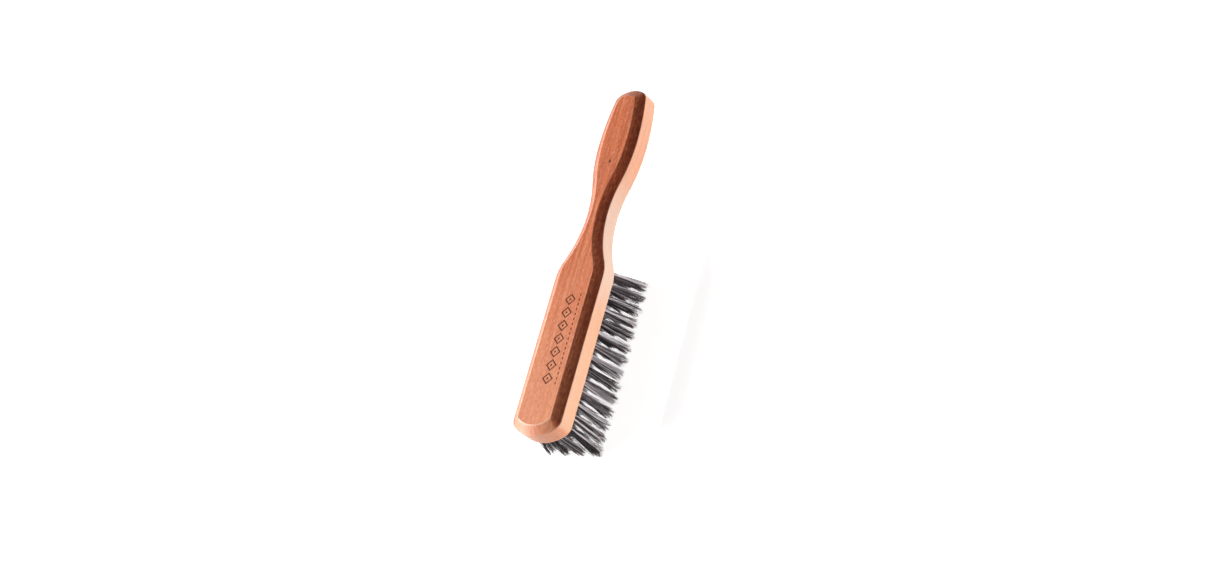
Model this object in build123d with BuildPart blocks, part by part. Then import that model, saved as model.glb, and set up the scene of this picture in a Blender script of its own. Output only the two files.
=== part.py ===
"""Beard brush: one-piece pear-wood body, four rows of boar-bristle tufts, flat-wire tuft anchors.

The brush lies on its bristle tips. +Z is up, out of the flat back. The handle points along +X.
The origin is under the middle of the brush, at the level of the tips. All sizes in millimetres.
"""

from build123d import *
import math
import os

os.makedirs("parts", exist_ok=True)

# ---------------------------------------------------------------- driving dimensions
length = 180.0                 # head end to handle end
wood_thickness = 11.25
bristle_length = 23.0          # from the underside of the wood to the tips

# plan outline of the wood: arcs that run smoothly into one another
head_half = 14.1               # half width of the parallel-sided head
head_end_radius = 20.0         # shallow arc across the far end of the head
head_corner_radius = 5.5
shoulder_at = 79.4             # head end to where the parallel sides stop
shoulder_radius = 18.0         # rounded shoulder of the head
throat_radius = 55.0           # hollow curve from the shoulder into the waist
waist_half = 6.15
nape_radius = 57.0             # hollow curve out of the waist
swell_radius = 78.0            # full curve into the widest part of the handle
belly_half = 11.6
palm_radius = 125.0            # slow taper from the widest part to the handle's end
heel_at = 176.8                # head end to the corners of the handle's end
heel_corner_radius = 5.0

# edges of the wood
bevel_width = 4.5              # bevel round the back, measured on the back face
bevel_drop = 2.8               # the same bevel, measured down the side wall
crest_round = 0.4              # sanding of the two bevel edges
under_round = 1.0              # softened lower edge

# bristle field: two outer rows, and two inner rows that stand half a step out of line with them
rows = 4
row_pitch = 6.2
outer_stations = 14            # holes in an outer row
inner_stations = 15            # holes in an inner row
first_station = 9.0            # head end to the first hole of an outer row
last_station = 85.2            # head end to the last hole of an outer row
hole_radius = 1.7
hole_depth = 7.0
outer_fan = 0.165              # lean along the brush at both ends of an outer row
inner_fan = 0.045              # the same for an inner row
splay_slope = 0.185            # outward lean of the outer rows
tuft_root_radius = 1.15
tuft_tip_radius = 2.75
tuft_root_gap = 0.2            # bottom of the hole to the fold of the bristle

# flat-wire anchors
anchor_length = 3.9            # longer than the hole is wide, so both ends bite into the wood
anchor_height = 1.5
anchor_thickness = 0.4
anchor_lift = 1.0              # bottom of the hole to the anchor

# burnt ornament on the back of the head
mark_depth = 0.2
mark_centre = 46.8             # from the head end
mark_side = -1.3               # sideways place of the lozenge chain
lozenge_count = 7
lozenge_pitch = 6.57
lozenge_long = 5.9
lozenge_wide = 6.2
lozenge_line = 0.6
bead_share = 0.22              # bead size over the size of its lozenge
dash_count = 19
dash_pitch = 2.45
dash_long = 1.2
dash_wide = 0.55
dash_side = -6.6               # sideways place of the row of dashes

# ---------------------------------------------------------------- derived sizes
under_z = bristle_length
back_z = bristle_length + wood_thickness
hole_floor_z = under_z + hole_depth
tuft_root_z = hole_floor_z - tuft_root_gap

shoulder_run = shoulder_radius + throat_radius
shoulder_turn = math.degrees(math.acos(1 - (head_half - waist_half) / shoulder_run))
waist_at = shoulder_at + shoulder_run * math.sin(math.radians(shoulder_turn))
swell_run = nape_radius + swell_radius
swell_turn = math.degrees(math.acos(1 - (belly_half - waist_half) / swell_run))
belly_at = waist_at + swell_run * math.sin(math.radians(swell_turn))
palm_turn = math.degrees(math.asin((heel_at - belly_at) / palm_radius))
head_end_sag = head_end_radius - math.sqrt(head_end_radius**2 - head_half**2)

station_pitch = (last_station - first_station) / (outer_stations - 1)
field_middle = (first_station + last_station) / 2


def from_head(distance):
    """X of a place given by its distance from the head end."""
    return distance - length / 2


def stations_in(row):
    """How many holes a row has."""
    return inner_stations if 0 < row < rows - 1 else outer_stations


def station_x(row, station):
    """X of a drilled hole's mouth."""
    steps = station - (stations_in(row) - 1) / 2
    return from_head(field_middle + steps * station_pitch)


def row_y(row):
    """Y of a drilled hole's mouth."""
    return (row - (rows - 1) / 2) * row_pitch


def lean(row, station):
    """Travel of a tuft's axis along X and along Y for each millimetre that it goes down."""
    end_fan = inner_fan if 0 < row < rows - 1 else outer_fan
    fan = (2 * station / (stations_in(row) - 1) - 1) * end_fan
    splay = row_y(row) / row_y(rows - 1) * splay_slope
    return fan, splay


def axis_point(row, station, z):
    """Where a tuft's axis crosses the height z."""
    fan, splay = lean(row, station)
    drop = under_z - z
    return station_x(row, station) + fan * drop, row_y(row) + splay * drop


def hole_plane(row, station, z):
    """Plane square to a tuft's axis at the height z, facing down to the mouth of the hole."""
    fan, splay = lean(row, station)
    x, y = axis_point(row, station, z)
    return Plane(origin=(x, y, z), x_dir=(0, 1, splay), z_dir=(fan, splay, -1))


every_tuft = [(row, station) for row in range(rows) for station in range(stations_in(row))]

# ---------------------------------------------------------------- wooden body
with BuildPart() as brush_body:
    with BuildSketch(Plane.XY.offset(under_z)):
        with BuildLine():
            side = Line((from_head(head_end_sag), head_half), (from_head(shoulder_at), head_half))
            shoulder = JernArc(side @ 1, side % 1, shoulder_radius, -shoulder_turn)
            throat = JernArc(shoulder @ 1, shoulder % 1, throat_radius, shoulder_turn)
            nape = JernArc(throat @ 1, throat % 1, nape_radius, swell_turn)
            swell = JernArc(nape @ 1, nape % 1, swell_radius, -swell_turn)
            palm = JernArc(swell @ 1, swell % 1, palm_radius, -palm_turn)
            mirror(about=Plane.XZ)
            heel = palm @ 1
            ThreePointArc((heel.X, heel.Y), (from_head(length), 0), (heel.X, -heel.Y))
            ThreePointArc(
                (from_head(head_end_sag), head_half),
                (from_head(0), 0),
                (from_head(head_end_sag), -head_half),
            )
        make_face()
        fillet(vertices().sort_by(Axis.X)[:2], radius=head_corner_radius)
        fillet(vertices().sort_by(Axis.X)[-2:], radius=heel_corner_radius)
    extrude(amount=wood_thickness)
    # wide bevel all round the back
    back_face = faces().sort_by(Axis.Z)[-1]
    chamfer(back_face.edges(), length=bevel_width, length2=bevel_drop, reference=back_face)
    # edges softened by sanding
    fillet(faces().sort_by(Axis.Z)[-1].edges(), radius=crest_round)
    bevel_foot = back_z - bevel_drop
    fillet(
        edges().filter_by_position(Axis.Z, bevel_foot - 0.01, bevel_foot + 0.01),
        radius=crest_round,
    )
    fillet(faces().sort_by(Axis.Z)[0].edges(), radius=under_round)
    # blind holes, each drilled at the lean of its tuft
    with Locations([hole_plane(row, station, hole_floor_z) for row, station in every_tuft]):
        Cylinder(
            hole_radius,
            hole_depth + 4,
            align=(Align.CENTER, Align.CENTER, Align.MIN),
            mode=Mode.SUBTRACT,
        )
    # burnt ornament: a chain of outlined lozenges, each round a bead, beside a row of dashes
    with BuildSketch(Plane.XY.offset(back_z)):
        with Locations((from_head(mark_centre), mark_side)):
            with GridLocations(lozenge_pitch, 0, lozenge_count, 1):
                Polygon(
                    (-lozenge_long / 2, 0),
                    (0, -lozenge_wide / 2),
                    (lozenge_long / 2, 0),
                    (0, lozenge_wide / 2),
                )
                inner = 1 - 2 * lozenge_line / lozenge_wide * math.hypot(1, lozenge_wide / lozenge_long)
                Polygon(
                    (-lozenge_long / 2 * inner, 0),
                    (0, -lozenge_wide / 2 * inner),
                    (lozenge_long / 2 * inner, 0),
                    (0, lozenge_wide / 2 * inner),
                    mode=Mode.SUBTRACT,
                )
                Polygon(
                    (-lozenge_long / 2 * bead_share, 0),
                    (0, -lozenge_wide / 2 * bead_share),
                    (lozenge_long / 2 * bead_share, 0),
                    (0, lozenge_wide / 2 * bead_share),
                )
        with Locations((from_head(mark_centre), dash_side)):
            with GridLocations(dash_pitch, 0, dash_count, 1):
                Rectangle(dash_long, dash_wide)
    extrude(amount=-mark_depth, mode=Mode.SUBTRACT)

brush_body.part.label = "brush_body"
export_step(brush_body.part, "parts/brush_body.step")

# ---------------------------------------------------------------- bristle tufts
for row, station in every_tuft:
    with BuildPart() as tuft:
        with BuildSketch(Plane.XY.offset(tuft_root_z)):
            with Locations(axis_point(row, station, tuft_root_z)):
                Circle(tuft_root_radius)
        with BuildSketch(Plane.XY):
            with Locations(axis_point(row, station, 0)):
                Circle(tuft_tip_radius)
        loft()
    tuft_name = f"tuft_{'abcd'[row]}{station + 1:02d}"
    tuft.part.label = tuft_name
    export_step(tuft.part, f"parts/{tuft_name}.step")

# ---------------------------------------------------------------- anchors
with BuildPart() as tuft_anchors:
    with Locations([hole_plane(row, station, hole_floor_z) for row, station in every_tuft]):
        with Locations((0, 0, anchor_lift)):
            Box(
                anchor_length,
                anchor_thickness,
                anchor_height,
                align=(Align.CENTER, Align.CENTER, Align.MIN),
            )

tuft_anchors.part.label = "tuft_anchors"
export_step(tuft_anchors.part, "parts/tuft_anchors.step")
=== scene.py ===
"""Beard brush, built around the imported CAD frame: pear wood, boar bristle, soft studio light.

Metres throughout, in the row frame: +Z out of the flat back, +X towards the end of the handle.
The materials work in millimetres of the same frame.
"""

import math
from types import SimpleNamespace

import bpy
import numpy as np
from mathutils import Matrix, Vector


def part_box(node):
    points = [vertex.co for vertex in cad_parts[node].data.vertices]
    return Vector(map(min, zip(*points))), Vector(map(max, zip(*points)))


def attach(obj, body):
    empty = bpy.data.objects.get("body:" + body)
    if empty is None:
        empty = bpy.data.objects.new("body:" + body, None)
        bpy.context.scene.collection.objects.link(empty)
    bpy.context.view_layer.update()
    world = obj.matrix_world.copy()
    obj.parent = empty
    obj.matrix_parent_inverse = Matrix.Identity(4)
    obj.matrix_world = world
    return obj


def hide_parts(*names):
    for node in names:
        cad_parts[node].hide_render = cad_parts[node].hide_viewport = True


MM = 0.001
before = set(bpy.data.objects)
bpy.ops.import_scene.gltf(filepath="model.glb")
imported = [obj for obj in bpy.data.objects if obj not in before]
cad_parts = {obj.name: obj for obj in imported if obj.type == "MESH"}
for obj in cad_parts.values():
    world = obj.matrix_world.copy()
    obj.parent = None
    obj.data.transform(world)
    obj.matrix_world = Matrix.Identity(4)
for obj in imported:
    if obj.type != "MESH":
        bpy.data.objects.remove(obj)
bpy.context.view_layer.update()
body_low, body_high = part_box("brush_body")
BACK_Z = body_high.z
MOUTH_Z = body_low.z             # underside of the wood, where the bristle leaves its holes

# places and sizes on the wood, in millimetres
BACK = BACK_Z / MM
BEVEL_FOOT = BACK - 2.8          # height of the bevel's lower edge
KNOT_X, KNOT_Y = 49.25, -0.72
HANDLE_FROM, HANDLE_FULL = -80.0, 40.0  # the handle's darker, redder tone starts at the first x and is full at the second
GRIP_FROM, GRIP_FULL = 30.0, 60.0  # likewise for the deeper side walls of the grip
END_FROM, END_FULL = -79.5, -83.5  # likewise for the pale upper edge of the head end, rubbed and with a painted highlight
HIGHLIGHT_X = 8.0                     # middle of the painted highlight on the side walls
MARK_X, MARK_Y = -43.2, -1.3     # middle of the burnt lozenge chain
MARK_SHIFT = 1.8                 # from there to the middle of the whole mark, towards its dashes
MARK_LONG, MARK_WIDE = 24.0, 5.6  # half length and half width of the whole mark, with a margin
LOZENGE_PITCH = 6.57
LINE_LONG, LINE_WIDE = 2.54, 2.67  # half length and half width of a lozenge, at the middle of its line

# ------------------------------------------------------------------ node helpers


def new_material(name):
    """An empty node material, its node tree and its Principled shader."""
    material = bpy.data.materials.new(name)
    material.use_nodes = True
    tree = material.node_tree
    tree.nodes.clear()
    output = tree.nodes.new("ShaderNodeOutputMaterial")
    shader = tree.nodes.new("ShaderNodeBsdfPrincipled")
    tree.links.new(shader.outputs["BSDF"], output.inputs["Surface"])
    return material, tree, shader


def put(tree, kind, inputs=None, **settings):
    """Add a node, set its properties, and link or set its inputs."""
    node = tree.nodes.new(kind)
    for key, value in settings.items():
        setattr(node, key, value)
    for key, value in (inputs or {}).items():
        if isinstance(value, bpy.types.NodeSocket):
            tree.links.new(value, node.inputs[key])
        else:
            node.inputs[key].default_value = value
    return node


def math_node(tree, operation, a, b=0.0, c=None, clamp=False):
    """One step of arithmetic on sockets or numbers."""
    values = {0: a, 1: b}
    if c is not None:
        values[2] = c
    return put(tree, "ShaderNodeMath", values, operation=operation, use_clamp=clamp).outputs[0]


def times(tree, a, b):
    """a multiplied by b."""
    return math_node(tree, "MULTIPLY", a, b)


def plus(tree, a, b, clamp=False):
    """a added to b."""
    return math_node(tree, "ADD", a, b, clamp=clamp)


def minus(tree, a, b):
    """b taken from a."""
    return math_node(tree, "SUBTRACT", a, b)


def unsigned(tree, a):
    """a without its sign."""
    return math_node(tree, "ABSOLUTE", a)


def span(tree, value, low, high, to_low=0.0, to_high=1.0, smooth=True):
    """Map value from low..high to to_low..to_high, held at the ends."""
    return put(
        tree,
        "ShaderNodeMapRange",
        {"Value": value, "From Min": low, "From Max": high, "To Min": to_low, "To Max": to_high},
        interpolation_type="SMOOTHSTEP" if smooth else "LINEAR",
    ).outputs["Result"]


def ramp(tree, factor, stops):
    """Colour ramp: stops are (position, (r, g, b)) pairs."""
    node = put(tree, "ShaderNodeValToRGB", {"Fac": factor})
    elements = node.color_ramp.elements
    while len(elements) < len(stops):
        elements.new(0.5)
    for element, (position, colour) in zip(elements, stops):
        element.position = position
        element.color = (*colour, 1.0)
    return node.outputs["Color"]


def mix_colour(tree, factor, a, b, blend="MIX"):
    """Colour a with the share factor of colour b laid over it."""
    node = put(tree, "ShaderNodeMix", data_type="RGBA", blend_type=blend)
    for index, value in ((0, factor), (6, a), (7, b)):
        if isinstance(value, bpy.types.NodeSocket):
            tree.links.new(value, node.inputs[index])
        elif index == 0:
            node.inputs[index].default_value = value
        else:
            node.inputs[index].default_value = (*value, 1.0)
    return node.outputs[2]


def stretched(tree, vector, scale, offset=(0.0, 0.0, 0.0)):
    """A vector scaled axis by axis, then moved by the offset."""
    return put(
        tree, "ShaderNodeMapping", {"Vector": vector, "Scale": scale, "Location": offset}
    ).outputs["Vector"]


def millimetres(tree):
    """Place on the object, in millimetres."""
    place = put(tree, "ShaderNodeTexCoord").outputs["Object"]
    return stretched(tree, place, (1 / MM, 1 / MM, 1 / MM))


def noise(tree, vector, scale, detail, roughness, distortion=0.0, offset=(0.0, 0.0, 0.0)):
    """Noise with its own scale along each axis; the offset picks a fresh patch of it."""
    return put(
        tree,
        "ShaderNodeTexNoise",
        {
            "Vector": stretched(tree, vector, scale, offset),
            "Scale": 1.0,
            "Detail": detail,
            "Roughness": roughness,
            "Distortion": distortion,
        },
    ).outputs["Fac"]


def cells(tree, vector, scale, offset=(0.0, 0.0, 0.0)):
    """Distance to the nearest of many scattered points."""
    return put(
        tree,
        "ShaderNodeTexVoronoi",
        {"Vector": stretched(tree, vector, scale, offset), "Scale": 1.0},
    ).outputs["Distance"]


def add_bump(tree, shader, height, strength, depth):
    """Let a height, worth the given depth in millimetres, tilt the shading."""
    normal = put(
        tree, "ShaderNodeBump", {"Height": height, "Strength": strength, "Distance": depth * MM}
    ).outputs["Normal"]
    tree.links.new(normal, shader.inputs["Normal"])


# ------------------------------------------------------------------ pear wood


def wood_place(tree):
    """Where a point of the wood is and how it faces, as the layers below need it."""
    mm = millimetres(tree)
    place = put(tree, "ShaderNodeSeparateXYZ", {"Vector": mm}).outputs
    normal = put(tree, "ShaderNodeNewGeometry").outputs["Normal"]
    facing = put(tree, "ShaderNodeSeparateXYZ", {"Vector": normal}).outputs
    wood = SimpleNamespace(mm=mm, x=place["X"], y=place["Y"], z=place["Z"])
    wood.facing_up = facing["Z"]
    wood.sideways = unsigned(tree, facing["Y"])
    wood.lit_side = span(tree, facing["Y"], 0.25, 0.60)
    wood.end_grain = math_node(tree, "POWER", unsigned(tree, facing["X"]), 2.5)
    wood.on_back = span(tree, wood.z, BACK - 1.0, BACK - 0.4)
    wood.handled = span(tree, wood.x, HANDLE_FROM, HANDLE_FULL)
    return wood


def bend_grain(tree, wood):
    """Let the grain swerve round a small pin knot on the flat of the handle."""
    dx = minus(tree, wood.x, KNOT_X)
    dy = minus(tree, wood.y, KNOT_Y)
    dx2 = times(tree, dx, times(tree, dx, 0.16))
    dy2 = times(tree, dy, dy)
    wood.knot_far = math_node(tree, "SQRT", plus(tree, dx2, dy2))
    wood.eye_far = math_node(tree, "SQRT", plus(tree, times(tree, dx2, 3.4), dy2))
    near_knot = math_node(tree, "EXPONENT", times(tree, wood.knot_far, -0.9))
    wood.grain_y = plus(tree, wood.y, times(tree, near_knot, times(tree, dy, -1.1)))
    parts = {"X": wood.x, "Y": wood.grain_y, "Z": wood.z}
    wood.grain = put(tree, "ShaderNodeCombineXYZ", parts).outputs["Vector"]


def add_noises(tree, wood):
    """Noises that several layers share; streaks and hairlines are drawn out along the grain."""
    wood.streak = noise(tree, wood.grain, (0.03, 1.6, 1.6), 4.0, 0.62, 0.2)
    wood.hairline = noise(tree, wood.grain, (0.055, 5.2, 5.2), 3.0, 0.6)
    wood.speckle = noise(tree, wood.mm, (1.1, 3.4, 3.4), 3.0, 0.7)
    wood.mottle = noise(tree, wood.mm, (0.55, 1.1, 1.1), 4.0, 0.65, offset=(4.0, 4.0, 4.0))


def head_to_handle(tree, wood, at_head, at_handle):
    """A share that goes from one value at the head to another on the handle."""
    return span(tree, wood.handled, 0.0, 1.0, at_head, at_handle)


def late_wood(tree, wood):
    """Late wood: growth bands that cross the board at a slant and end sharply."""
    warp = noise(tree, wood.grain, (0.010, 0.10, 0.10), 2.0, 0.5, offset=(3.0, 1.0, 7.0))
    ring_way = plus(tree, times(tree, wood.grain_y, 0.42), times(tree, wood.z, 0.23))
    ring_phase = math_node(tree, "FRACT", plus(tree, ring_way, times(tree, warp, 9.0)))
    return times(tree, span(tree, ring_phase, 0.45, 0.97), span(tree, ring_phase, 1.0, 0.965))


def board_colour(tree, wood):
    """Broad drift of tone, growth bands, figure, streaks and mottling."""
    drift = noise(tree, wood.grain, (0.012, 0.09, 0.12), 3.0, 0.55, 0.4)
    colour = ramp(
        tree,
        drift,
        (
            (0.30, (0.690, 0.222, 0.100)),
            (0.50, (0.765, 0.260, 0.122)),
            (0.70, (0.825, 0.312, 0.158)),
        ),
    )
    # the handle is darker and redder than the head
    colour = mix_colour(tree, wood.handled, colour, (0.99, 0.63, 0.50), blend="MULTIPLY")
    late_share = times(tree, late_wood(tree, wood), head_to_handle(tree, wood, 0.10, 0.30))
    colour = mix_colour(tree, late_share, colour, (0.50, 0.115, 0.036))
    figure = noise(tree, wood.grain, (0.016, 0.62, 0.62), 3.0, 0.6, 0.15, offset=(1.0, 6.0, 2.0))
    figure_dark = times(tree, span(tree, figure, 0.51, 0.40), head_to_handle(tree, wood, 0.14, 0.95))
    colour = mix_colour(tree, figure_dark, colour, (0.50, 0.105, 0.034))
    figure_pale = times(tree, span(tree, figure, 0.54, 0.64), 0.30)
    colour = mix_colour(tree, figure_pale, colour, (0.90, 0.40, 0.22))
    streak_share = head_to_handle(tree, wood, 0.12, 0.66)
    streak_dark = times(tree, span(tree, wood.streak, 0.50, 0.38), streak_share)
    colour = mix_colour(tree, streak_dark, colour, (0.48, 0.115, 0.038))
    streak_pale = times(tree, span(tree, wood.hairline, 0.52, 0.64), 0.30)
    colour = mix_colour(tree, streak_pale, colour, (0.90, 0.42, 0.24))
    mottle_dark = span(tree, wood.mottle, 0.50, 0.38, 0.0, 0.42)
    colour = mix_colour(tree, mottle_dark, colour, (0.56, 0.150, 0.060))
    mottle_pale = span(tree, wood.mottle, 0.53, 0.63, 0.0, 0.34)
    colour = mix_colour(tree, mottle_pale, colour, (0.92, 0.46, 0.28))
    speckle_pale = span(tree, wood.speckle, 0.40, 0.68, 0.0, 0.20)
    return mix_colour(tree, speckle_pale, colour, (0.90, 0.44, 0.26))


def pore_mask(tree, wood):
    """Pores: short dashes along the grain, dots on the end grain, in patches."""
    pores = span(tree, cells(tree, wood.grain, (0.75, 3.8, 3.8)), 0.20, 0.08)
    return times(tree, pores, span(tree, wood.streak, 0.62, 0.38))


def with_flecks(tree, wood, colour):
    """Ray flecks: small pale flakes, not seen on end grain."""
    fleck_cells = cells(tree, wood.grain, (1.3, 2.2, 0.7), (11.0, 4.0, 2.0))
    flecks = span(tree, fleck_cells, 0.17, 0.08)
    flecks = times(tree, flecks, span(tree, wood.end_grain, 0.10, 0.45, 1.0, 0.0))
    return mix_colour(tree, times(tree, flecks, 0.24), colour, (0.90, 0.50, 0.30))


def with_knot(tree, wood, colour):
    """The pin knot: a dark eye in a softer ring."""
    eye = times(tree, span(tree, wood.eye_far, 0.80, 0.42), wood.on_back)
    ring = times(tree, span(tree, wood.knot_far, 1.5, 0.5), wood.on_back)
    colour = mix_colour(tree, times(tree, ring, 0.40), colour, (0.34, 0.115, 0.05))
    return mix_colour(tree, times(tree, eye, 0.92), colour, (0.075, 0.022, 0.012))


def with_end_grain(tree, wood, colour):
    """End grain drinks more oil and goes darker."""
    end_share = times(tree, wood.end_grain, span(tree, wood.mottle, 0.36, 0.64, 0.80, 0.66))
    return mix_colour(tree, end_share, colour, (0.47, 0.205, 0.115))


def with_side_walls(tree, wood, colour):
    """Painted sheen: the side walls are made paler than the flat face, palest along one stretch as a
    painted highlight.
    """
    side_face = span(tree, wood.sideways, 0.72, 0.92)
    # painted sheen: the side walls paler than the flat face
    side_sheen = times(tree, side_face, head_to_handle(tree, wood, 0.74, 0.60))
    colour = mix_colour(tree, side_sheen, colour, (0.640, 0.372, 0.220))
    # painted highlight: palest along a stretch of the walls
    highlight_far = unsigned(tree, minus(tree, wood.x, HIGHLIGHT_X))
    painted_highlight_share = times(tree, side_face, span(tree, highlight_far, 42.0, 14.0, 0.0, 0.72))
    colour = mix_colour(tree, painted_highlight_share, colour, (0.630, 0.455, 0.360))
    grip_share = times(tree, side_face, span(tree, wood.x, GRIP_FROM, GRIP_FULL))
    colour = mix_colour(tree, grip_share, colour, (0.91, 0.87, 0.86), blend="MULTIPLY")
    # the wall turned to the key light is a shade deeper, so the light does not wash it out
    lit_wall = times(tree, side_face, wood.lit_side)
    return mix_colour(tree, lit_wall, colour, (0.72, 0.66, 0.66), blend="MULTIPLY")


def with_shaded_bevels(tree, wood, colour):
    """Painted shade on the long bevels: a little paler at their crest, darker and redder more and more
    towards their foot.
    """
    steep = math_node(tree, "COMPARE", wood.facing_up, 0.86, 0.075)
    long_bevel = times(tree, steep, span(tree, wood.sideways, 0.24, 0.46))
    down_bevel = span(tree, wood.z, BACK - 0.1, BEVEL_FOOT, smooth=False)
    bevel_shade_noise = noise(tree, wood.mm, (0.35, 0.9, 0.9), 4.0, 0.65, offset=(8.0, 3.0, 1.0))
    down_bevel = plus(tree, down_bevel, span(tree, bevel_shade_noise, 0.36, 0.64, -0.24, 0.24))
    # painted shade: paler at the crest, deeper and redder down towards the foot
    bevel_shade_tone = ramp(
        tree,
        down_bevel,
        (
            (0.00, (1.24, 1.06, 1.00)),
            (0.45, (0.86, 0.66, 0.60)),
            (1.00, (0.62, 0.35, 0.28)),
        ),
    )
    colour = mix_colour(tree, long_bevel, colour, bevel_shade_tone, blend="MULTIPLY")
    # painted highlight: the bevel turned to the key light is tinted paler and cooler, undoing most of the
    # painted shade there
    lit_bevel = times(tree, long_bevel, wood.lit_side)
    return mix_colour(tree, lit_bevel, colour, (0.80, 1.16, 1.38), blend="MULTIPLY")


def rub_and_highlight_mask(tree, wood):
    """Pale lines on both edges of the bevel, partly sanded wear and partly painted highlight; the upper
    one is strongest at the head end.
    """
    foot_gap = unsigned(tree, minus(tree, wood.z, BEVEL_FOOT))
    foot_rub_and_highlight = times(tree, span(tree, foot_gap, 0.42, 0.10), 0.25)
    slope = minus(tree, 1.0, wood.facing_up)
    at_crest = span(tree, wood.z, BACK - 0.34, BACK - 0.10)
    crest_rub_and_highlight = times(tree, at_crest, span(tree, slope, 0.004, 0.03))
    crest_rub_and_highlight = times(tree, crest_rub_and_highlight, span(tree, wood.x, END_FROM, END_FULL, 0.15, 0.55))
    edge_line_noise = noise(tree, wood.mm, (0.10, 0.35, 0.35), 3.0, 0.6, offset=(5.0, 0.0, 0.0))
    rub_and_highlight = math_node(tree, "MAXIMUM", foot_rub_and_highlight, crest_rub_and_highlight)
    return times(tree, rub_and_highlight, span(tree, edge_line_noise, 0.30, 0.70, 0.45, 0.95))


def burn_masks(tree, wood):
    """Charred floor of the engraving, and a faint scorch beside the lozenges' lines."""
    mark_x = minus(tree, wood.x, MARK_X)
    mark_y = minus(tree, wood.y, MARK_Y)
    across = unsigned(tree, plus(tree, mark_y, MARK_SHIFT))
    zone = times(
        tree,
        span(tree, unsigned(tree, mark_x), MARK_LONG, MARK_LONG - 0.5),
        span(tree, across, MARK_WIDE, MARK_WIDE - 0.2),
    )
    in_mark = times(tree, wood.on_back, span(tree, wood.z, BACK - 0.04, BACK - 0.12))
    char = times(tree, in_mark, zone)
    half_pitch = LOZENGE_PITCH / 2
    wrapped = unsigned(tree, math_node(tree, "WRAP", mark_x, half_pitch, -half_pitch))
    reach_x = math_node(tree, "DIVIDE", wrapped, LINE_LONG)
    reach_y = math_node(tree, "DIVIDE", unsigned(tree, mark_y), LINE_WIDE)
    off_line = unsigned(tree, minus(tree, plus(tree, reach_x, reach_y), 1.0))
    halo = times(tree, span(tree, off_line, 0.34, 0.10), zone)
    return char, times(tree, halo, wood.on_back)


def pear_wood():
    """Oiled pear wood, from the broad figure of the board down to its pores and the burnt mark."""
    material, tree, shader = new_material("pear_wood_detail")
    wood = wood_place(tree)
    bend_grain(tree, wood)
    add_noises(tree, wood)
    pores = pore_mask(tree, wood)
    rub_and_highlight = rub_and_highlight_mask(tree, wood)
    char, halo = burn_masks(tree, wood)
    char_noise = noise(tree, wood.mm, (1.4, 1.4, 1.4), 3.0, 0.6)
    char_colour = ramp(
        tree, char_noise, ((0.30, (0.130, 0.042, 0.022)), (0.70, (0.260, 0.085, 0.042)))
    )

    colour = board_colour(tree, wood)
    colour = mix_colour(tree, times(tree, pores, 0.38), colour, (0.26, 0.070, 0.028))
    colour = with_flecks(tree, wood, colour)
    colour = with_knot(tree, wood, colour)
    colour = with_end_grain(tree, wood, colour)
    colour = with_side_walls(tree, wood, colour)
    colour = with_shaded_bevels(tree, wood, colour)
    # pale edge lines: sanded wear and painted highlight
    colour = mix_colour(tree, rub_and_highlight, colour, (0.98, 0.74, 0.56))
    colour = mix_colour(tree, times(tree, halo, 0.30), colour, (0.33, 0.12, 0.055))
    colour = mix_colour(tree, times(tree, char, 0.90), colour, char_colour)
    tree.links.new(colour, shader.inputs["Base Color"])

    # gloss: smooth oiled wood, drier at pores, rubbed edges shinier, char matt
    handling = noise(tree, wood.mm, (0.05, 0.08, 0.08), 3.0, 0.6, offset=(2.0, 9.0, 4.0))
    rough = span(tree, handling, 0.30, 0.70, 0.36, 0.50)
    rough = plus(tree, rough, times(tree, pores, 0.18))
    rough = plus(tree, rough, span(tree, wood.speckle, 0.35, 0.70, 0.0, 0.07))
    rough = minus(tree, rough, times(tree, rub_and_highlight, 0.06))
    rough = plus(tree, rough, times(tree, char, 0.30), clamp=True)
    tree.links.new(rough, shader.inputs["Roughness"])
    shader.inputs["Specular IOR Level"].default_value = 0.34
    shader.inputs["Coat Weight"].default_value = 0.06
    shader.inputs["Coat Roughness"].default_value = 0.30

    height = times(tree, wood.hairline, 0.35)
    height = plus(tree, height, times(tree, wood.speckle, 0.25))
    height = minus(tree, height, times(tree, pores, 0.9))
    height = plus(tree, height, times(tree, char_noise, times(tree, char, 1.2)))
    add_bump(tree, shader, height, strength=0.45, depth=0.06)
    return material


# ------------------------------------------------------------------ boar bristle


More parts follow.
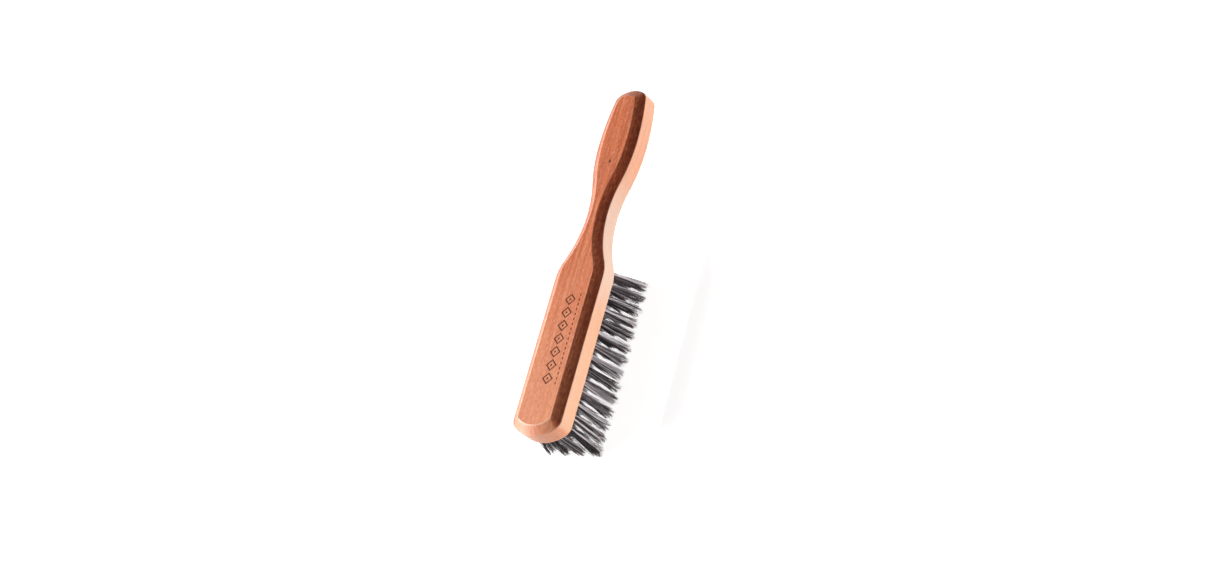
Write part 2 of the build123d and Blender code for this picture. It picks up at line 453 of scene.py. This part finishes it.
def boar_bristle():
    """Dark bristle with grey and brown hairs, driven by the colour attribute of every hair."""
    material, tree, shader = new_material("boar_bristle_detail")
    hair = put(tree, "ShaderNodeAttribute", attribute_name="hair").outputs["Color"]
    channels = put(tree, "ShaderNodeSeparateColor", {"Color": hair}).outputs
    tone, along, chance = channels["Red"], channels["Green"], channels["Blue"]
    mm = millimetres(tree)
    # the pale and near-white strands stand partly for pale hairs and partly for painted glints
    colour = ramp(
        tree,
        tone,
        (
            (0.00, (0.005, 0.004, 0.005)),
            (0.28, (0.018, 0.013, 0.016)),
            (0.46, (0.090, 0.070, 0.080)),
            (0.66, (0.340, 0.295, 0.315)),
            (0.90, (0.900, 0.850, 0.870)),
        ),
    )
    mottling = noise(tree, mm, (2.0, 2.0, 0.28), 3.0, 0.6)
    brown_share = span(tree, mottling, 0.45, 0.75, 0.0, 0.32)
    colour = mix_colour(tree, brown_share, colour, (0.115, 0.085, 0.070))
    # a short dark line of dust and shade where the bristle leaves the wood
    root_share = span(tree, along, 0.18, 0.11, 0.0, 0.80)
    colour = mix_colour(tree, root_share, colour, (0.006, 0.005, 0.005))
    tip = span(tree, along, 0.80, 1.0)
    tip_brown = times(tree, tip, span(tree, chance, 0.3, 0.9, 0.0, 0.5))
    colour = mix_colour(tree, tip_brown, colour, (0.135, 0.080, 0.050))
    tree.links.new(colour, shader.inputs["Base Color"])

    rough = span(tree, chance, 0.0, 1.0, 0.26, 0.48, smooth=False)
    rough = plus(tree, rough, span(tree, mottling, 0.3, 0.8, 0.0, 0.12))
    tree.links.new(rough, shader.inputs["Roughness"])
    shader.inputs["Specular IOR Level"].default_value = 0.16
    scales = noise(tree, mm, (6.0, 6.0, 9.0), 2.0, 0.6)
    add_bump(tree, shader, scales, strength=0.25, depth=0.02)
    return material


def drawn_brass():
    """Flat brass wire with fine drawing lines along its length and patches of tarnish."""
    material, tree, shader = new_material("drawn_brass_detail")
    mm = millimetres(tree)
    lines = noise(tree, mm, (9.0, 0.6, 9.0), 3.0, 0.6)
    tarnish = noise(tree, mm, (0.7, 0.7, 0.7), 4.0, 0.6)
    colour = ramp(
        tree,
        tarnish,
        (
            (0.30, (0.35, 0.22, 0.09)),
            (0.55, (0.72, 0.52, 0.24)),
            (0.80, (0.84, 0.66, 0.36)),
        ),
    )
    tree.links.new(colour, shader.inputs["Base Color"])
    shader.inputs["Metallic"].default_value = 1.0
    rough = span(tree, lines, 0.3, 0.7, 0.22, 0.42)
    tree.links.new(rough, shader.inputs["Roughness"])
    add_bump(tree, shader, lines, strength=0.3, depth=0.01)
    return material


# ------------------------------------------------------------------ tufts

SEED = 4100
HAIRS = 120                      # bristles in a tuft
STRANDS = 28                     # bristles cling together in this many strands
JOINTS = 7                       # rings of points along each hair
SIDES = 4                        # points in each ring
HAIR_POINTS = JOINTS * SIDES + 1  # the rings and one point at the tip
MOUTH_RADIUS = 1.25 * MM
TIP_SPREAD = np.array([2.75, 3.1]) * MM  # along the brush, across it
INNER_ROWS = "bc"
INNER_SPREAD = 0.80              # the crowded inner rows flare less than the outer ones
LATE_FLARE = 1.35                # above 1, a tuft stays slim near the wood and opens further down
HOLE_START = 2.5 * MM            # hairs start this far inside their hole
HAIR_RADIUS = (0.10, 0.16)       # least and most at the root, in millimetres
TAPER = 0.42                     # share of that radius lost by the tip
TIP_REACH = 0.03                 # the tip point lies this share of a joint beyond the last ring
STRAND_BOW, HAIR_BOW = 0.35, 0.22  # spread of the sideways bow half way out, in millimetres
HOOK = 0.28                      # spread of the sideways bend at the tip, in millimetres
FLOOR_GAP = 0.02 * MM            # no tip goes lower than this
DISC_GAP = 0.01 * MM             # points this close to the height of a plug's end lie on it
STRAY_SHARE = 0.09
SHORT_SHARE = 0.10


def tuft_axis(node):
    """Centres of a packed tuft's root and tip discs."""
    count = len(node.data.vertices)
    points = np.empty(count * 3)
    node.data.vertices.foreach_get("co", points)
    points = points.reshape(-1, 3)
    top = points[:, 2].max()
    root = points[points[:, 2] > top - DISC_GAP]
    tip = points[points[:, 2] < DISC_GAP]
    root_centre = (root.min(0) + root.max(0)) / 2
    tip_centre = (tip.min(0) + tip.max(0)) / 2
    return root_centre, tip_centre


def disc_points(count, rng):
    """Points spread evenly over a unit disc."""
    angle = rng.uniform(0, 2 * math.pi, count)
    share = np.sqrt(rng.uniform(0, 1, count))
    return np.stack([np.cos(angle), np.sin(angle)], 1) * share[:, None]


def strand_of(at_root, strands):
    """Index of the strand nearest to each hair."""
    gap = np.linalg.norm(at_root[:, None, :] - strands[None, :, :], axis=2)
    return gap.argmin(1)


def tip_places(at_root, strands, strand, rng):
    """Where each tip lies in the tuft: drawn to its strand, with a few strays outside."""
    cling = strands[strand] + rng.normal(0, 0.10, (STRANDS, 2))[strand]
    at_tip = at_root * 0.45 + cling * 0.55 + rng.normal(0, 0.09, (HAIRS, 2))
    stray = rng.uniform(0, 1, HAIRS) < STRAY_SHARE
    at_tip[stray] *= rng.uniform(1.10, 1.35, (stray.sum(), 1))
    return at_tip


def tip_heights(strand, rng):
    """Height of each tip: strands end a little unevenly, and a few bristles are short."""
    strand_end = rng.uniform(0.0, 0.55, STRANDS)
    heights = strand_end[strand] + np.abs(rng.normal(0, 0.35, HAIRS)) + 0.05
    short = rng.uniform(0, 1, HAIRS) < SHORT_SHARE
    heights[short] += rng.uniform(0.6, 3.0, short.sum())
    return heights * MM


def hair_paths(root, tip, tip_spread, rng):
    """A tuft's hairs: centre lines, share of length, strand, and place in the tuft along the brush."""
    at_root = disc_points(HAIRS, rng)
    strands = disc_points(STRANDS, rng)
    strand = strand_of(at_root, strands)
    at_tip = tip_places(at_root, strands, strand, rng)
    tip_z = tip_heights(strand, rng)
    start_z = MOUTH_Z + HOLE_START
    along = np.linspace(0, 1, JOINTS)[None, :]
    z = start_z + (tip_z[:, None] - start_z) * along
    axis_share = (root[2] - z) / (root[2] - tip[2])
    centre = root[None, None, :2] + (tip - root)[None, None, :2] * axis_share[..., None]
    # how far out of its hole a point is, as a share of the way to the floor
    out = np.clip((MOUTH_Z - z) / MOUTH_Z, 0, None)[..., None]
    ease = out ** LATE_FLARE
    spread = at_root[:, None, :] * MOUTH_RADIUS * (1 - ease)
    spread = spread + at_tip[:, None, :] * tip_spread * ease
    strand_bow = rng.normal(0, STRAND_BOW, (STRANDS, 1, 2))[strand]
    bow = (strand_bow + rng.normal(0, HAIR_BOW, (HAIRS, 1, 2))) * MM * 4 * out * (1 - out)
    hook = rng.normal(0, HOOK, (HAIRS, 1, 2)) * MM * out ** 3
    xy = centre + spread + bow + hook
    line = np.concatenate([xy, z[..., None]], 2)
    return line, np.broadcast_to(along, z.shape), strand, at_root[:, 0]


def hair_faces():
    """Faces of one hair: four-sided along its length, three-sided at its tip."""
    side = np.arange(SIDES)
    after = (side + 1) % SIDES
    quads = []
    for joint in range(JOINTS - 1):
        low, high = joint * SIDES, (joint + 1) * SIDES
        quads.append(np.stack([low + side, high + side, high + after, low + after], 1))
    last = (JOINTS - 1) * SIDES
    caps = np.stack([last + side, np.full(SIDES, HAIR_POINTS - 1), last + after], 1)
    return np.concatenate(quads), caps


def hair_mesh(name, paths, along, rng):
    """Bristles as separate tapered rods, closed at the tip and open inside their hole."""
    thick = rng.uniform(*HAIR_RADIUS, HAIRS)[:, None] * MM
    radius = thick * (1 - TAPER * along ** 2)
    first_turn = rng.uniform(0, 2 * math.pi, HAIRS)[:, None]
    turn = first_turn + np.arange(SIDES)[None, :] * (2 * math.pi / SIDES)
    ring = np.stack([np.cos(turn), np.sin(turn), np.zeros_like(turn)], 2)
    points = paths[:, :, None, :] + ring[:, None, :, :] * radius[:, :, None, None]
    ends = paths[:, -1, :] + (paths[:, -1, :] - paths[:, -2, :]) * TIP_REACH
    ends[:, 2] = np.maximum(ends[:, 2], FLOOR_GAP)
    vertices = np.concatenate([points.reshape(HAIRS, -1, 3), ends[:, None, :]], 1)
    quads, caps = hair_faces()
    faces = []
    for hair in range(HAIRS):
        base = hair * HAIR_POINTS
        faces.extend((quads + base).tolist())
        faces.extend((caps + base).tolist())
    mesh = bpy.data.meshes.new(name)
    mesh.from_pydata(vertices.reshape(-1, 3).tolist(), [], faces)
    mesh.shade_smooth()
    return mesh


def tint_hairs(mesh, along, strand, facing, rng):
    """Give every point its tone in red, its share of the hair's length in green, and chance in blue."""
    # the palest strands stand partly for pale hairs and partly for painted glints
    strand_tone = rng.beta(0.52, 0.66, STRANDS)[strand]
    # painted light: hairs on the handle side of each tuft are made paler, as if lit from that side
    tone = 0.02 + 0.76 * strand_tone + 0.28 * rng.uniform(0, 1, HAIRS) + 0.12 * facing
    chance = rng.uniform(0, 1, HAIRS)
    data = np.ones((HAIRS, HAIR_POINTS, 4), np.float32)
    data[:, :, 0] = np.clip(tone, 0, 1)[:, None]
    data[:, :-1, 1] = np.repeat(along, SIDES, axis=1)
    data[:, :, 2] = chance[:, None]
    attribute = mesh.attributes.new("hair", "FLOAT_COLOR", "POINT")
    attribute.data.foreach_set("color", data.ravel())


def tuft_piece(name, node, tip_spread, rng, material):
    """One tuft as a bundle of separate tapered bristles."""
    root, tip = tuft_axis(node)
    paths, along, strand, facing = hair_paths(root, tip, tip_spread, rng)
    mesh = hair_mesh(name, paths, along, rng)
    tint_hairs(mesh, along, strand, facing, rng)
    mesh.materials.append(material)
    piece = bpy.data.objects.new(name, mesh)
    bpy.context.scene.collection.objects.link(piece)
    return piece


def dress(node, material):
    """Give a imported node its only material."""
    node.data.materials.clear()
    node.data.materials.append(material)


wood_material = pear_wood()
bristle_material = boar_bristle()
brass_material = drawn_brass()
dress(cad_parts["brush_body"], wood_material)
dress(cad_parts["tuft_anchors"], brass_material)
tuft_names = sorted(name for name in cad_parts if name.startswith("tuft_"))
tuft_names.remove("tuft_anchors")
for index, tuft_name in enumerate(tuft_names):
    row_letter = tuft_name[len("tuft_")]
    piece = tuft_piece(
        tuft_name.replace("tuft_", "bristles_"),
        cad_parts[tuft_name],
        TIP_SPREAD * (INNER_SPREAD if row_letter in INNER_ROWS else 1.0),
        np.random.default_rng(SEED + index),
        bristle_material,
    )
    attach(piece, "root")
    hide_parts(tuft_name)

# ------------------------------------------------------------------ stage


def pale_floor():
    """Matt floor with a glow of its own, so that it stays pale all over."""
    material, _, shader = new_material("pale_floor")
    shader.inputs["Base Color"].default_value = (0.48, 0.48, 0.48, 1)
    shader.inputs["Roughness"].default_value = 0.6
    shader.inputs["Specular IOR Level"].default_value = 0.2
    shader.inputs["Emission Color"].default_value = (1.0, 1.0, 1.0, 1)
    shader.inputs["Emission Strength"].default_value = 0.91
    return material


bpy.ops.mesh.primitive_plane_add(size=8.0, location=(0, 0, 0))
floor = bpy.context.object
floor.name = "floor"
floor.data.materials.append(pale_floor())

world = bpy.data.worlds.new("studio")
bpy.context.scene.world = world
world.use_nodes = True
# pale along the horizon, dim overhead so that the bevel away from the key light stays dark
sky = world.node_tree.nodes["Background"]
way_up = put(world.node_tree, "ShaderNodeTexCoord").outputs["Generated"]
height = put(world.node_tree, "ShaderNodeSeparateXYZ", {"Vector": way_up}).outputs["Z"]
glow = span(world.node_tree, height, 0.11, 0.17, 0.90, 0.042)
world.node_tree.links.new(glow, sky.inputs["Strength"])
sky.inputs["Color"].default_value = (0.97, 0.98, 1.0, 1)


def soft_light(name, place, aim, size, power):
    """A rectangular area light, turned to its aim and not seen by the camera."""
    light = bpy.data.lights.new(name, "AREA")
    light.shape = "RECTANGLE"
    light.size, light.size_y = size
    light.energy = power
    lamp = bpy.data.objects.new(name, light)
    bpy.context.scene.collection.objects.link(lamp)
    lamp.location = place
    way = Vector(aim) - Vector(place)
    lamp.rotation_euler = way.to_track_quat("-Z", "Y").to_euler()
    lamp.visible_camera = False


soft_light("key", place=(-0.20, 0.80, 0.50), aim=(0, 0, 0.03), size=(0.55, 0.36), power=17.8)
soft_light(
    "low_card", place=(0.0, -0.047, 0.0015), aim=(0.0, -0.035, 0.03), size=(0.30, 0.024), power=0.138
)
soft_light(
    "low_front", place=(0.150, -0.045, 0.003), aim=(-0.02, -0.012, 0.018), size=(0.05, 0.02), power=0.045
)

# ------------------------------------------------------------------ camera

THETA = math.radians(40.78)      # turn of the brush about its own length
PHI = math.radians(21.60)        # tilt of its length away from the picture plane
PSI = math.radians(15.78)        # lean in the picture
DISTANCE = 0.79877
SENSOR = 36.0                    # width, in millimetres
LENS = 50.5764                   # focal length over that sensor
OFF_AXIS = (-0.01522, 0.01258)   # from the line of sight to the middle of the back


def in_camera(along, right, deep):
    """Camera-space direction of a vector given along the handle, to the right, and away from the back."""
    flat_x = right * math.cos(THETA) + deep * math.sin(THETA)
    turned = -right * math.sin(THETA) + deep * math.cos(THETA)
    up = along * math.cos(PHI) - turned * math.sin(PHI)
    away = along * math.sin(PHI) + turned * math.cos(PHI)
    lean_cos, lean_sin = math.cos(PSI), math.sin(PSI)
    return Vector((flat_x * lean_cos + up * lean_sin, -flat_x * lean_sin + up * lean_cos, away))


# the three axes of the brush as the camera sees them, turned into the camera's own axes
x_axis = in_camera(1, 0, 0)
y_axis = in_camera(0, -1, 0)
z_axis = in_camera(0, 0, -1)
rows = [Vector((x_axis[i], y_axis[i], z_axis[i])) for i in range(3)]
camera_right, camera_up, camera_forward = rows
eye = (
    Vector((0, 0, BACK_Z))
    - camera_forward * DISTANCE
    - camera_right * OFF_AXIS[0]
    - camera_up * OFF_AXIS[1]
)
turn = Matrix((camera_right, camera_up, -camera_forward)).transposed()
camera_data = bpy.data.cameras.new("camera")
camera_data.sensor_width = SENSOR
camera_data.lens = LENS
camera = bpy.data.objects.new("camera", camera_data)
bpy.context.scene.collection.objects.link(camera)
camera.matrix_world = Matrix.Translation(eye) @ turn.to_4x4()
bpy.context.scene.camera = camera
bpy.context.scene.view_settings.view_transform = "Standard"
